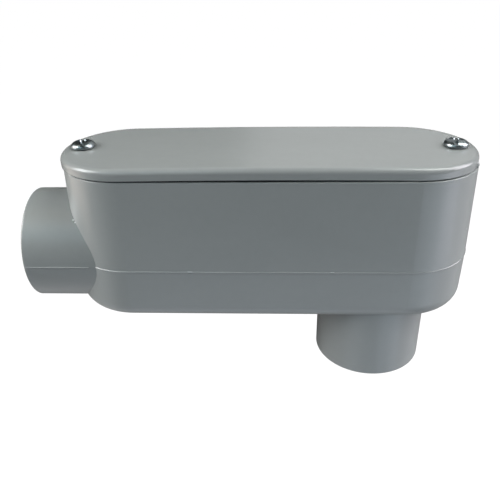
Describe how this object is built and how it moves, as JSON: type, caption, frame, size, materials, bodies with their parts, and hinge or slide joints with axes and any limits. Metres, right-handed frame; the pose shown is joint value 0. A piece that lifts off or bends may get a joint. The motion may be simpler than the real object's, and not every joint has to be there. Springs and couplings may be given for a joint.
{
  "type": "conduit body",
  "caption": "Right-angle PVC conduit fitting: a long hollow box with a screwed, gasketed cover, a conduit socket on one end and one on its back.",
  "frame": {"origin": "centre of the back hub's mouth, on the hub's axis", "axes": "+Z from the back hub's mouth up to the cover, -X out of the end hub, Y across the width"},
  "size_m": [0.1308, 0.0384, 0.0715],
  "materials": {
    "body_pvc": "semi-gloss moulded grey PVC",
    "cover_pvc": "semi-gloss moulded grey PVC",
    "gasket_rubber": "matt black",
    "screw_steel": "bright zinc-plated steel"
  },
  "bodies": {
    "housing": {"body": "body_pvc"},
    "lid": {"cover": "cover_pvc", "gasket": "gasket_rubber"},
    "screw_left": {"screw_left": "screw_steel"},
    "screw_right": {"screw_right": "screw_steel"}
  },
  "joints": [
    {"name": "cover_lift", "type": "slide", "parent": "housing", "child": "lid", "axis": [0, 0, 1], "range_m": [0, 0.04]},
    {"name": "screw_left_out", "type": "slide", "parent": "lid", "child": "screw_left", "axis": [0, 0, 1], "range_m": [0, 0.016]},
    {"name": "screw_right_out", "type": "slide", "parent": "lid", "child": "screw_right", "axis": [0, 0, 1], "range_m": [0, 0.016]}
  ]
}
